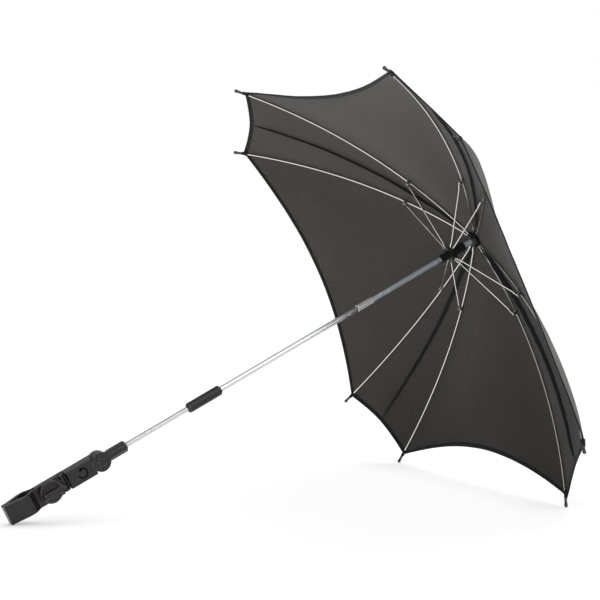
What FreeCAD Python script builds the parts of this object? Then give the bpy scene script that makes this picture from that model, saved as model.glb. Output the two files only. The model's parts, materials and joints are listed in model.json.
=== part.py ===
import FreeCAD, Part
import math
import os
import re
from types import SimpleNamespace

import Sketcher

# Driving dimensions, in millimetres and degrees. Stations are measured down the shaft from the rib hinges.
driving = {
    # canopy frame
    "tip_reach": 350.0,
    "tip_drop": 136.5,
    "pair_angle": 20.4,
    "joint_reach": 112.9,
    "joint_drop": 24.4,
    "joint_offset": 3.7,
    "hinge_reach": 8.8,
    "rib_diameter": 2.2,
    "stretcher_diameter": 1.9,
    "blade_thickness": 1.2,
    "blade_height": 2.8,
    "blade_length": 12.0,
    "stretcher_blade_length": 8.0,
    "hinge_wire_diameter": 1.2,
    "cap_length": 12.0,
    "cap_bore": 9.0,
    "cap_diameter": 3.5,
    "cap_ball_diameter": 4.8,
    "cap_neck_length": 4.2,
    "clip_length": 8.0,
    "clip_wall": 0.8,
    "rivet_diameter": 1.2,
    # cover
    "cloth_thickness": 0.6,
    "cover_hole_reach": 6.0,
    "wide_sag": 38.0,
    "narrow_sag": 8.0,
    # shaft
    "tube_diameter": 6.8,
    "tube_wall": 0.6,
    "collar_diameter": 8.6,
    "collar_station": 169.5,
    "collar_length": 24.0,
    "collar_flute_diameter": 1.0,
    "connector_diameter": 12.6,
    "connector_station": 404.3,
    "connector_length": 48.4,
    "connector_round": 2.0,
    "tube_seat": 22.0,
    "upper_catch_station": 64.0,
    "lower_catch_station": 208.0,
    "catch_diameter": 2.8,
    "catch_rise": 0.9,
    "catch_length": 2.1,
    # crown and runner
    "crown_diameter": 20.4,
    "crown_rise": 1.2,
    "crown_depth": 6.0,
    "crown_bevel": 2.0,
    "runner_pivot_station": 40.0,
    "runner_diameter": 20.0,
    "runner_ring_height": 6.0,
    "runner_top_station": 19.3,
    "runner_end_station": 58.3,
    "runner_sleeve_diameter": 12.0,
    "runner_skirt_diameter": 10.8,
    "runner_wire_diameter": 1.0,
    "ferrule_diameter": 9.0,
    "ferrule_tip_diameter": 6.0,
    "ferrule_height": 26.0,
    "ferrule_stem": 14.0,
    "washer_diameter": 18.0,
    "washer_thickness": 0.8,
    "washer_rise": 3.9,
    # bending neck
    "neck_diameter": 6.5,
    "neck_bore": 4.0,
    "neck_groove": 0.35,
    # arm and pivot
    "arm_station": 541.0,
    "arm_diameter": 13.2,
    "arm_chamfer": 1.0,
    "pivot_station": 577.5,
    "drum_diameter": 23.4,
    "drum_front": 9.0,
    "drum_back": 1.0,
    "swing_gap": 1.3,
    "button_diameter": 11.7,
    "button_rise": 2.0,
    "button_height": 4.8,
    "button_pocket": 5.5,
    "lock_ring_diameter": 16.0,
    "lock_tooth_diameter": 2.4,
    "lock_ring_height": 2.2,
    "pivot_bolt_diameter": 4.0,
    "pivot_head_diameter": 6.4,
    "pivot_head_height": 0.9,
    "spring_diameter": 11.2,
    "spring_thickness": 0.5,
    # clamp
    "block_width": 21.0,
    "block_station": 587.0,
    "block_end_station": 622.0,
    "block_front": 9.0,
    "block_round": 1.5,
    "eye_station": 676.0,
    "eye_diameter": 16.0,
    "eye_length": 43.0,
    "eye_opening": 8.0,
    "eye_wall": 3.5,
    "jaw_lip": 5.0,
    "lip_thickness": 5.5,
    "jaw_width": 24.0,
    "jaw_thickness": 4.0,
    "jaw_gap": 1.0,
    "jaw_pin_station": 627.5,
    "jaw_pin_depth": 2.5,
    "jaw_pin_diameter": 3.0,
    "knuckle_diameter": 6.4,
    "knuckle_width": 9.0,
    "clamp_bolt_station": 646.0,
    "clamp_bolt_diameter": 5.0,
    "clamp_bolt_hole": 8.4,
    "clamp_bolt_reach": 19.0,
    "bolt_head_diameter": 10.0,
    "bolt_head_height": 3.0,
    "clamp_washer_diameter": 15.0,
    "clamp_washer_thickness": 1.0,
    "knob_diameter": 27.6,
    "knob_base_height": 5.0,
    "knob_height": 15.5,
    "knob_grip_width": 9.0,
    "knob_grip_top_width": 6.0,
    "knob_chamfer": 1.2,
    "knob_space": 4.0,
    "nut_diameter": 9.0,
    "nut_height": 4.0,
    # clearances
    "fit_clearance": 0.03,
    "wire_clearance": 0.09,
    "running_clearance": 0.3,
    "overrun": 5.0,
}
quarter_turn = 90.0
pair_middles = [45.0, 135.0, 225.0, 315.0]
slot_angles = [middle + side * driving["pair_angle"] / 2 for middle in pair_middles for side in (-1, 1)]
flute_count = 12
tooth_count = 6
neck_ribs = 7
groove_share = 0.15
slope_share = 0.15
ball_turns = [105.0, 75.0]
cap_sides = 8
hinge_wire_sides = 4
wire_sides = 6
blade_end_sides = 8
arm_sides = 8
wire_start_share = 0.8
wire_end_share = 0.3

size = SimpleNamespace(**driving)
vector = FreeCAD.Vector
axis_x = vector(1, 0, 0)
axis_y = vector(0, 1, 0)
axis_z = vector(0, 0, 1)

doc = FreeCAD.newDocument("pram_parasol")
sheet = doc.addObject("Spreadsheet::Sheet", "sizes")
for row, (alias, value) in enumerate(driving.items(), start=1):
    sheet.set(f"A{row}", alias)
    sheet.set(f"B{row}", str(value))
    sheet.setAlias(f"B{row}", alias)
doc.recompute()

nodes = {}


def bound(text):
    return re.sub(r"[a-z][a-z_]+", r"sizes.\g<0>", text)


def number(text):
    return float(sheet.evalExpression(bound(text)))


def keep(label, piece):
    piece.Label = label
    nodes[label] = piece
    return piece


# Sketches and solids whose corners are written in the sheet's own names
def outline(body, plane, corners):
    sketch = body.newObject("Sketcher::SketchObject", body.Name + "_outline")
    support = [part for part in body.Origin.OriginFeatures if part.Role == plane][0]
    sketch.AttachmentSupport = [(support, "")]
    sketch.MapMode = "FlatFace"
    places = [vector(number(across), number(along), 0) for across, along in corners]
    last = len(corners)
    for index in range(last):
        sketch.addGeometry(Part.LineSegment(places[index], places[(index + 1) % last]), False)
    for index in range(last):
        sketch.addConstraint(Sketcher.Constraint("Coincident", index, 2, (index + 1) % last, 1))
    for index, corner in enumerate(corners):
        for kind, text, origin_axis in (("DistanceX", corner[0], -2), ("DistanceY", corner[1], -1)):
            if text == "0":
                sketch.addConstraint(Sketcher.Constraint("PointOnObject", index, 1, origin_axis))
            else:
                rule = Sketcher.Constraint(kind, -1, 1, index, 1, number(text))
                sketch.setExpression(f"Constraints[{sketch.addConstraint(rule)}]", bound(text))
    return sketch


def turned(name, corners, place=None):
    body = doc.addObject("PartDesign::Body", name)
    sketch = outline(body, "XZ_Plane", corners)
    feature = body.newObject("PartDesign::Revolution", name + "_turn")
    feature.Profile = sketch
    feature.ReferenceAxis = (sketch, ["V_Axis"])
    feature.Angle = 360
    body.Placement = place or FreeCAD.Placement()
    return body


def pressed(name, plane, corners, length, place=None):
    body = doc.addObject("PartDesign::Body", name)
    feature = body.newObject("PartDesign::Pad", name + "_pad")
    feature.Profile = outline(body, plane, corners)
    feature.SideType = "Symmetric"
    feature.setExpression("Length", bound(length))
    body.Placement = place or FreeCAD.Placement()
    return body


def ring_corners(inner, outer, top, bottom):
    return [(inner, top), (outer, top), (outer, bottom), (inner, bottom)]


def primitive(kind, name, place, **sizes):
    piece = doc.addObject("Part::" + kind, name)
    for key, text in sizes.items():
        piece.setExpression(key, bound(text))
    piece.Placement = place
    return piece


def cylinder(name, place, radius, height):
    return primitive("Cylinder", name, place, Radius=radius, Height=height)


def prism(name, place, sides, radius, height):
    piece = primitive("Prism", name, place, Circumradius=radius, Height=height)
    piece.Polygon = sides
    return piece


def box(name, corner, across, deep, high):
    place = FreeCAD.Placement(corner, FreeCAD.Rotation())
    return primitive("Box", name, place, Length=across, Width=deep, Height=high)


def fused(name, pieces):
    piece = doc.addObject("Part::MultiFuse", name)
    piece.Shapes = pieces
    return piece


def cut(name, base, tools):
    piece = doc.addObject("Part::Cut", name)
    piece.Base = base
    piece.Tool = tools[0] if len(tools) == 1 else fused(name + "_tools", tools)
    return piece


def along_x(x, y, z):
    return FreeCAD.Placement(vector(x, y, z), FreeCAD.Rotation(axis_y, 90))


def along_y(x, y, z):
    return FreeCAD.Placement(vector(x, y, z), FreeCAD.Rotation(axis_x, -90))


def about_shaft(angle):
    return FreeCAD.Placement(vector(), FreeCAD.Rotation(axis_z, angle))


# The curve of a rib in its own upright plane: one arc from the hinge past the joint to the tip ball
joint_slope = math.atan2(size.tip_drop, size.tip_reach)
joint_point = vector(size.joint_reach, 0, -size.joint_drop)
rib_normal = vector(math.sin(joint_slope), 0, math.cos(joint_slope))
rib_points = [vector(size.hinge_reach, 0, 0), joint_point + rib_normal * size.joint_offset,
              vector(size.tip_reach, 0, -size.tip_drop)]
rib_circle = Part.ArcOfCircle(*rib_points)
rib_centre = rib_circle.Center
rib_radius = rib_circle.Radius


def rib_angle(point):
    return math.atan2(point.x - rib_centre.x, point.z - rib_centre.z)


def rib_place(angle, lift=0.0):
    reach = rib_radius + lift
    return rib_centre + vector(reach * math.sin(angle), 0, reach * math.cos(angle))


def rib_rotation(angle):
    tangent = vector(math.cos(angle), 0, -math.sin(angle))
    normal = vector(math.sin(angle), 0, math.cos(angle))
    return FreeCAD.Rotation(tangent, axis_y, normal, "ZXY")


hinge_angle = rib_angle(rib_points[0])
joint_angle = rib_angle(rib_points[1])
tip_angle = rib_angle(rib_points[2])
cap_angle = tip_angle - size.cap_length / rib_radius

# Lean of the shaft as the open parasol lies on two rib tips and on the corner of the clamp
tip_depth = size.tip_reach * math.cos(math.radians((quarter_turn - size.pair_angle) / 2))
jaw_end = size.eye_station + size.eye_length / 2 + size.jaw_lip
run = math.hypot(tip_depth - size.jaw_width / 2, jaw_end - size.tip_drop)
lean = math.atan2(tip_depth - size.jaw_width / 2, jaw_end - size.tip_drop)
lean += math.asin(size.cap_ball_diameter / 2 / run)
lying_turn = FreeCAD.Rotation(axis_y, quarter_turn - math.degrees(lean))
ground_way = vector(math.cos(lean), 0, -math.sin(lean))
low_tip_turn = FreeCAD.Rotation(axis_z, (quarter_turn - size.pair_angle) / 2)
low_tip_way = low_tip_turn.multVec(rib_rotation(tip_angle).multVec(axis_x))
contact_turn = math.degrees(low_tip_way.getAngle(ground_way))
eye_centre = vector(0, 0, -size.eye_station)
lying = FreeCAD.Placement(-lying_turn.multVec(eye_centre), lying_turn)


# Shaft tubes, each with the hole of its sprung catch
def make_tube(label, top, bottom, catch_station):
    wall = ring_corners("tube_diameter / 2 - tube_wall", "tube_diameter / 2", top, bottom)
    blank = turned(label + "_blank", wall)
    place = along_y(0, -size.tube_diameter, -catch_station)
    hole = cylinder(label + "_hole", place, "catch_diameter / 2 + fit_clearance", "tube_diameter")
    keep(label, cut(label, blank, [hole]))


def make_catch(label, station):
    corners = [("0", "0"), ("catch_diameter / 2", "0"),
               ("catch_diameter / 2", "catch_length - catch_diameter / 4"),
               ("catch_diameter / 4", "catch_length"), ("0", "catch_length")]
    turn = FreeCAD.Rotation(axis_x, 90)
    depth = size.catch_length - size.catch_rise - size.tube_diameter / 2
    keep(label, turned(label, corners, FreeCAD.Placement(vector(0, depth, -station), turn)))


collar_middle = "-collar_station - collar_length / 2"
make_tube("upper_tube", "crown_rise", collar_middle, size.upper_catch_station)
make_tube("lower_tube", collar_middle, "-connector_station - tube_seat", size.lower_catch_station)
make_catch("upper_catch", size.upper_catch_station)
make_catch("lower_catch", size.lower_catch_station)


# Fluted joining collar
def make_collar():
    corners = ring_corners("tube_diameter / 2 + fit_clearance", "collar_diameter / 2",
                           "-collar_station", "-collar_station - collar_length")
    body = turned("collar", corners)
    sketch = body.newObject("Sketcher::SketchObject", "collar_flute")
    support = [part for part in body.Origin.OriginFeatures if part.Role == "XY_Plane"][0]
    sketch.AttachmentSupport = [(support, "")]
    sketch.MapMode = "FlatFace"
    sketch.addGeometry(Part.Circle(vector(size.collar_diameter / 2, 0, 0), axis_z,
                                   size.collar_flute_diameter / 2), False)
    sketch.addConstraint(Sketcher.Constraint("PointOnObject", 0, 3, -1))
    reach = sketch.addConstraint(Sketcher.Constraint("DistanceX", -1, 1, 0, 3, size.collar_diameter / 2))
    sketch.setExpression(f"Constraints[{reach}]", bound("collar_diameter / 2 + collar_flute_diameter / 4"))
    width = sketch.addConstraint(Sketcher.Constraint("Diameter", 0, size.collar_flute_diameter))
    sketch.setExpression(f"Constraints[{width}]", bound("collar_flute_diameter"))
    pocket = body.newObject("PartDesign::Pocket", "collar_groove")
    pocket.Profile = sketch
    pocket.Type = "ThroughAll"
    pocket.SideType = "Symmetric"
    pattern = body.newObject("PartDesign::PolarPattern", "collar_flutes")
    pattern.Originals = [pocket]
    pattern.Axis = (sketch, ["N_Axis"])
    pattern.Angle = 360
    pattern.Occurrences = flute_count
    body.Tip = pattern
    keep("collar", body)


make_collar()


# Connector between the tube and the bending neck
def make_connector():
    top = "-connector_station"
    end = "-connector_station - connector_length"
    edge = "connector_diameter / 2"
    bore = "tube_diameter / 2 + fit_clearance"
    corners = [(bore, top), (edge + " - connector_round", top), (edge, top + " - connector_round"),
               (edge, end + " + connector_round"), (edge + " - connector_round", end), ("0", end),
               ("0", top + " - tube_seat"), (bore, top + " - tube_seat")]
    keep("connector", turned("connector", corners))


make_connector()


# Crown and runner: hubs with a slot for each rib or stretcher and a ring of wire that holds them
def wire_ring(reach, radius, station):
    corners = []
    for side in range(hinge_wire_sides):
        turn = 2 * math.pi * (side + 0.5) / hinge_wire_sides
        corners.append((f"{reach} + ({radius}) * {math.cos(turn):.6f}",
                        f"{station} + ({radius}) * {math.sin(turn):.6f}"))
    return corners


def make_hub(label, corners, low, high, station, wire_reach, wire_radius):
    blank = turned(label + "_blank", corners)
    width = size.blade_thickness + 2 * size.running_clearance
    slots = []
    for index, angle in enumerate(slot_angles, start=1):
        corner = vector(size.hinge_reach - size.blade_height / 2 - size.running_clearance, -width / 2, low)
        place = about_shaft(angle).multiply(FreeCAD.Placement(corner, FreeCAD.Rotation()))
        slots.append(primitive("Box", f"{label}_slot_{index}", place, Length="crown_diameter",
                               Width="blade_thickness + 2 * running_clearance", Height=high))
    groove = turned(label + "_groove", wire_ring(wire_reach, wire_radius + " + fit_clearance", station))
    keep(label, cut(label, blank, slots + [groove]))
    keep(label + "_wire", turned(label + "_wire", wire_ring(wire_reach, wire_radius, station)))


crown_bore = "tube_diameter / 2 + fit_clearance"
crown_edge = "crown_diameter / 2"
crown_corners = [(crown_bore, "crown_rise"), (crown_edge, "crown_rise"),
                 (crown_edge, "crown_bevel - crown_depth"),
                 (crown_edge + " - crown_bevel", "-crown_depth"), (crown_bore, "-crown_depth")]
make_hub("crown", crown_corners, -size.crown_depth - size.overrun,
         "crown_depth + crown_rise + 2 * overrun", "0", "hinge_reach", "hinge_wire_diameter / 2")

ring_top = "-runner_pivot_station + runner_ring_height / 2"
ring_end = "-runner_pivot_station - runner_ring_height / 2"
runner_bore = "collar_diameter / 2 + running_clearance"
runner_sleeve = "runner_sleeve_diameter / 2"
runner_skirt = "runner_skirt_diameter / 2"
runner_corners = [(runner_bore, "-runner_top_station"), (runner_sleeve, "-runner_top_station"),
                  (runner_sleeve, ring_top), ("runner_diameter / 2", ring_top),
                  ("runner_diameter / 2", ring_end), (runner_skirt, ring_end),
                  (runner_skirt, "-runner_end_station"), (runner_bore, "-runner_end_station")]
make_hub("runner", runner_corners, -size.runner_pivot_station - size.runner_ring_height / 2 - size.overrun,
         "runner_ring_height + 2 * overrun", "-runner_pivot_station",
         "hinge_reach - blade_height / 2 - running_clearance - runner_wire_diameter / 2",
         "runner_wire_diameter / 2")


# Ferrule and washer that hold the cover down on the crown
def make_ferrule():
    base = "washer_rise + washer_thickness"
    stem = "tube_diameter / 2 - tube_wall - fit_clearance"
    tip = "ferrule_tip_diameter / 2"
    corners = [("0", "crown_rise - ferrule_stem"), (stem, "crown_rise - ferrule_stem"), (stem, base),
               ("ferrule_diameter / 2", base), ("ferrule_diameter / 2", base + " + ferrule_tip_diameter / 2"),
               (tip, base + " + ferrule_tip_diameter / 2"),
               (tip, base + " + ferrule_height - ferrule_tip_diameter / 4"),
               ("ferrule_tip_diameter / 4", base + " + ferrule_height"), ("0", base + " + ferrule_height")]
    keep("ferrule", turned("ferrule", corners))
    ring = ring_corners(stem + " + 2 * fit_clearance", "washer_diameter / 2", base, "washer_rise")
    keep("cover_washer", turned("cover_washer", ring))


make_ferrule()


# Ribs, their tip caps and joint clips, and the stretchers
def blade(name, place, length):
    half = "blade_height / 2"
    bar = primitive("Box", name + "_bar", place.multiply(FreeCAD.Placement(
        vector(0, -size.blade_thickness / 2, -size.blade_height / 2), FreeCAD.Rotation())),
        Length=length, Width="blade_thickness", Height="blade_height")
    end_place = place.multiply(along_y(0, -size.blade_thickness / 2, 0))
    end = prism(name + "_end", end_place, blade_end_sides, half, "blade_thickness")
    return [bar, end]


def eye_hole(name, place, wire_diameter):
    hole = place.multiply(along_y(0, -size.blade_thickness, 0))
    return cylinder(name, hole, wire_diameter + " / 2 + fit_clearance", "2 * blade_thickness")


def make_rib(number_text, around):
    label = "rib_" + number_text
    wire_start = hinge_angle + wire_start_share * size.blade_length / rib_radius
    wire_end = tip_angle - wire_end_share * size.cap_length / rib_radius
    start = around.multiply(FreeCAD.Placement(rib_place(wire_start), rib_rotation(wire_start)))
    section = doc.addObject("Part::RegularPolygon", label + "_section")
    section.Polygon = wire_sides
    section.setExpression("Circumradius", bound("rib_diameter / 2"))
    section.Placement = start.multiply(along_x(0, 0, 0))
    wire = doc.addObject("Part::Revolution", label + "_wire")
    wire.Source = section
    wire.Base = around.multVec(rib_centre)
    wire.Axis = around.Rotation.multVec(axis_y)
    wire.Angle = math.degrees(wire_end - wire_start)
    wire.Solid = True
    hinge = around.multiply(FreeCAD.Placement(rib_points[0], rib_rotation(hinge_angle)))
    solid = fused(label + "_solid", [wire] + blade(label + "_blade", hinge, "blade_length"))
    keep(label, cut(label, solid, [eye_hole(label + "_eye", hinge, "hinge_wire_diameter")]))


# The caps are drops whose rounded ends meet the ground on the edge where the parasol lies
def make_rib_tip(number_text, around):
    label = "rib_tip_" + number_text
    stations = [("cap_diameter / 2", -size.cap_length), ("cap_diameter / 2", -size.cap_neck_length)]
    for turn in ball_turns + [contact_turn]:
        across = math.sin(math.radians(turn))
        along = math.cos(math.radians(turn))
        stations.append((f"cap_ball_diameter / 2 * {across:.6f}", size.cap_ball_diameter / 2 * along))
    turn = rib_rotation(tip_angle)
    up = FreeCAD.Rotation(turn.multVec(axis_z), axis_y, turn.multVec(axis_x), "ZXY")
    place = around.multiply(FreeCAD.Placement(rib_points[2], up))
    sections = []
    for index, (radius, along) in enumerate(stations, start=1):
        section = doc.addObject("Part::RegularPolygon", f"{label}_section_{index}")
        section.Polygon = cap_sides
        section.setExpression("Circumradius", bound(radius))
        section.Placement = place.multiply(FreeCAD.Placement(vector(0, 0, along), FreeCAD.Rotation()))
        sections.append(section)
    drop = doc.addObject("Part::Loft", label + "_drop")
    drop.Sections = sections
    drop.Solid = True
    drop.Ruled = True
    mouth = place.multiply(FreeCAD.Placement(vector(0, 0, -size.cap_length), FreeCAD.Rotation()))
    bore = cylinder(label + "_bore", mouth, "rib_diameter / 2 + wire_clearance", "cap_bore")
    keep(label, cut(label, drop, [bore]))


def make_rib_joint(number_text, around):
    label = "rib_joint_" + number_text
    place = around.multiply(FreeCAD.Placement(rib_points[1], rib_rotation(joint_angle)))
    half_gap = size.blade_thickness / 2 + size.running_clearance
    tube_place = place.multiply(along_x(-size.clip_length / 2, 0, 0))
    wrap = prism(label + "_wrap", tube_place, wire_sides, "rib_diameter / 2 + clip_wall", "clip_length")
    ears = []
    ear_length = size.blade_height + size.rivet_diameter
    for index, side in enumerate((half_gap, -half_gap - size.clip_wall), start=1):
        corner = vector(-ear_length / 2, side, -size.joint_offset - size.blade_height / 2)
        ear_place = place.multiply(FreeCAD.Placement(corner, FreeCAD.Rotation()))
        ears.append(primitive("Box", f"{label}_ear_{index}", ear_place,
                              Length="blade_height + rivet_diameter", Width="clip_wall",
                              Height="joint_offset + blade_height / 2"))
    rivet_place = place.multiply(along_y(0, -half_gap - size.clip_wall, -size.joint_offset))
    rivet = cylinder(label + "_rivet", rivet_place, "rivet_diameter / 2",
                     "blade_thickness + 2 * running_clearance + 2 * clip_wall")
    hole_place = place.multiply(along_x(-size.clip_length, 0, 0))
    hole = cylinder(label + "_bore", hole_place, "rib_diameter / 2 + wire_clearance", "2 * clip_length")
    keep(label, cut(label, fused(label + "_solid", [wrap] + ears + [rivet]), [hole]))


# The stretcher pivots where the clip's rivet is, under the rib
joint_pivot = rib_points[1] - vector(math.sin(joint_angle), 0, math.cos(joint_angle)) * size.joint_offset
runner_pivot = vector(size.hinge_reach, 0, -size.runner_pivot_station)
stretcher_length = (runner_pivot - joint_pivot).Length


def make_stretcher(number_text, around):
    label = "stretcher_" + number_text
    way = runner_pivot - joint_pivot
    way.normalize()
    turn = FreeCAD.Rotation(way, axis_y, way.cross(axis_y), "XYZ")
    outer = around.multiply(FreeCAD.Placement(joint_pivot, turn))
    back = FreeCAD.Rotation(-way, axis_y, (-way).cross(axis_y), "XYZ")
    inner = around.multiply(FreeCAD.Placement(runner_pivot, back))
    rod_place = outer.multiply(along_x(size.blade_length / 2, 0, 0))
    rod = primitive("Prism", label + "_rod", rod_place, Circumradius="stretcher_diameter / 2")
    rod.Polygon = wire_sides
    rod.Height = stretcher_length - size.blade_length
    pieces = [rod] + blade(label + "_outer", outer, "stretcher_blade_length")
    pieces += blade(label + "_inner", inner, "stretcher_blade_length")
    eye = eye_hole(label + "_eye", outer, "rivet_diameter")
    keep(label, cut(label, fused(label + "_solid", pieces), [eye]))


for position, angle in enumerate(slot_angles, start=1):
    around_shaft = about_shaft(angle)
    make_rib(str(position), around_shaft)
    make_rib_tip(str(position), around_shaft)
    make_rib_joint(str(position), around_shaft)
    make_stretcher(str(position), around_shaft)


# Cover: gores stretched over the ribs, with hollow edges and a seam down the middle of each narrow gore
along_steps = 12
wide_steps = 6
cloth_lift = size.rib_diameter / 2 + size.clip_wall + 2 * size.running_clearance
cover_start = math.asin((size.cover_hole_reach - rib_centre.x) / rib_radius)


def cover_point(reach_share, angle, lift):
    curve = cover_start + (cap_angle - cover_start) * reach_share
    return about_shaft(angle).multVec(rib_place(curve, lift))


def cover_grid(left, right, steps, sag, lift):
    length = rib_radius * (cap_angle - cover_start)
    rows = []
    for step in range(along_steps + 1):
        row = []
        for cell in range(steps + 1):
            across = cell / steps
            share = step / along_steps * (1 - sag(across) / length)
            first = cover_point(share, left, lift)
            second = cover_point(share, right, lift)
            row.append(first + (second - first) * across)
        rows.append(row)
    return rows


def panel(*corners):
    return Part.Face(Part.makePolygon(list(corners) + [corners[0]]))


def panels(rows):
    faces = []
    for near, far in zip(rows, rows[1:]):
        for cell in range(len(near) - 1):
            faces.append(panel(near[cell], near[cell + 1], far[cell]))
            faces.append(panel(near[cell + 1], far[cell + 1], far[cell]))
    return faces


def make_cover():
    pair = size.pair_angle / 2
    gores = []
    for middle in pair_middles:
        left = middle - pair
        right = middle + pair
        gores.append((left, right, 2, lambda across: (1 - abs(2 * across - 1)) * size.narrow_sag))
        gores.append((right, left + quarter_turn, wide_steps,
                      lambda across: 4 * across * (1 - across) * size.wide_sag))
    faces = []
    for gore in gores:
        under = cover_grid(*gore, cloth_lift)
        outer = cover_grid(*gore, cloth_lift + size.cloth_thickness)
        faces += panels(under) + panels(outer)
        for end in (0, -1):
            faces += panels([under[end], outer[end]])
    shell = Part.makeShell(faces)
    shell.sewShape()
    solid = Part.Solid(Part.Shell(shell.Faces))
    if solid.Volume < 0:
        solid.reverse()
    cover = doc.addObject("Part::Feature", "cover")
    cover.Shape = solid
    keep("cover", cover)


make_cover()


# Bending neck: a ribbed metal hose in two lengths
def make_neck(label, top, length):
    circles = []
    pitch = length / neck_ribs
    outer = size.neck_diameter / 2
    for index in range(neck_ribs):
        circles.append((top - index * pitch, outer - size.neck_groove))
        circles.append((top - (index + groove_share) * pitch, outer - size.neck_groove))
        circles.append((top - (index + groove_share + slope_share) * pitch, outer))
        circles.append((top - (index + 1 - slope_share) * pitch, outer))
    circles.append((top - length, outer - size.neck_groove))
    wires = [Part.Wire(Part.makeCircle(radius, vector(0, 0, z), axis_z)) for z, radius in circles]
    hose = Part.makeLoft(wires, True, True)
    core_end = vector(0, 0, top - length - size.overrun)
    core = Part.makeCylinder(size.neck_bore / 2, length + 2 * size.overrun, core_end)
    neck = doc.addObject("Part::Feature", label)
    neck.Shape = hose.cut(core)
    keep(label, neck)


neck_top = -size.connector_station - size.connector_length
neck_half = (size.arm_station + neck_top) / 2
make_neck("neck_upper", neck_top, neck_half)
make_neck("neck_lower", neck_top - neck_half, neck_half)


# Arm with its pivot drum, release button, lock ring and bolt
def make_shank():
    flat = math.cos(math.pi / arm_sides)
    corners = []
    for side in range(arm_sides):
        turn = 2 * math.pi * (side + 0.5) / arm_sides
        corners.append((f"arm_diameter / 2 * {math.cos(turn) / flat:.6f}",
                        f"arm_diameter / 2 * {math.sin(turn) / flat:.6f}"))
    middle = vector(0, 0, -(size.arm_station + size.pivot_station) / 2)
    body = pressed("arm_shank", "XY_Plane", corners, "pivot_station - arm_station",
                   FreeCAD.Placement(middle, FreeCAD.Rotation()))
    doc.recompute()
    pad = body.Tip
    half = number("(pivot_station - arm_station) / 2 - overrun")
    rim = [f"Edge{index}" for index, edge in enumerate(pad.Shape.Edges, start=1)
           if edge.BoundBox.ZMin > half]
    chamfer = body.newObject("PartDesign::Chamfer", "arm_shank_chamfer")
    chamfer.Base = (pad, rim)
    chamfer.setExpression("Size", bound("arm_chamfer"))
    body.Tip = chamfer
    return body


def make_arm():
    shank = make_shank()
    clear = box("arm_clear", vector(-size.arm_diameter, size.drum_back, -size.pivot_station - size.overrun),
                "2 * arm_diameter", "arm_diameter", "drum_diameter / 2 + swing_gap + overrun")
    drum = cylinder("arm_drum", along_y(0, -size.drum_front, -size.pivot_station), "drum_diameter / 2",
                    "drum_front + drum_back")
    pocket = cylinder("arm_button_pocket", along_y(0, -size.drum_front - size.overrun, -size.pivot_station),
                      "button_diameter / 2 + running_clearance", "button_pocket + overrun")
    lock_place = along_y(0, size.drum_back - size.lock_ring_height, -size.pivot_station)
    lock = cylinder("arm_lock_pocket", lock_place, "lock_ring_diameter / 2 + running_clearance",
                    "lock_ring_height + overrun")
    hole = cylinder("arm_bolt_hole", along_y(0, -size.drum_front, -size.pivot_station),
                    "pivot_bolt_diameter / 2 + fit_clearance", "drum_front + drum_back")
    solid = fused("arm_solid", [cut("arm_trimmed", shank, [clear]), drum])
    keep("arm", cut("arm", solid, [pocket, lock, hole]))


make_arm()
pivot_front = FreeCAD.Placement(vector(0, 0, -size.pivot_station), FreeCAD.Rotation(axis_x, 90))
button_back = "drum_front + button_rise - button_height"
keep("button", turned("button", [
    ("0", button_back), ("button_diameter / 2", button_back),
    ("button_diameter / 2", "drum_front + button_rise / 2"),
    ("button_diameter / 2 - button_rise / 2", "drum_front + button_rise"), ("0", "drum_front + button_rise")],
    pivot_front))
pocket_floor = "drum_front - button_pocket"
spring_inner = "pivot_head_diameter / 2 + running_clearance"
keep("button_spring", turned("button_spring", [
    (spring_inner, button_back + " - spring_thickness"), (spring_inner, button_back),
    ("spring_diameter / 2", pocket_floor + " + spring_thickness"), ("spring_diameter / 2", pocket_floor)],
    pivot_front))
rear_face = "-block_front"
head_front = "drum_front - button_pocket + fit_clearance"
rear_end = rear_face + " - pivot_head_height"
head_end = head_front + " + pivot_head_height"
keep("pivot_bolt", turned("pivot_bolt", [
    ("0", rear_end), ("pivot_head_diameter / 2", rear_end), ("pivot_head_diameter / 2", rear_face),
    ("pivot_bolt_diameter / 2", rear_face), ("pivot_bolt_diameter / 2", head_front),
    ("pivot_head_diameter / 2", head_front), ("pivot_head_diameter / 2", head_end), ("0", head_end)],
    pivot_front))


def make_lock_ring():
    ear_front = size.drum_back + size.running_clearance
    blank = cylinder("lock_ring_blank", along_y(0, ear_front - size.lock_ring_height, -size.pivot_station),
                     "lock_ring_diameter / 2", "lock_ring_height")
    tools = [cylinder("lock_ring_bore", along_y(0, -size.drum_front, -size.pivot_station),
                      "pivot_bolt_diameter / 2 + fit_clearance", "2 * drum_front")]
    for tooth in range(tooth_count):
        turn = 2 * math.pi * tooth / tooth_count
        reach = size.lock_ring_diameter / 2
        place = along_y(reach * math.cos(turn), -size.drum_front, reach * math.sin(turn) - size.pivot_station)
        tools.append(cylinder(f"lock_ring_gap_{tooth}", place, "lock_tooth_diameter / 2", "2 * drum_front"))
    keep("lock_ring", cut("lock_ring", blank, tools))


make_lock_ring()


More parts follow.
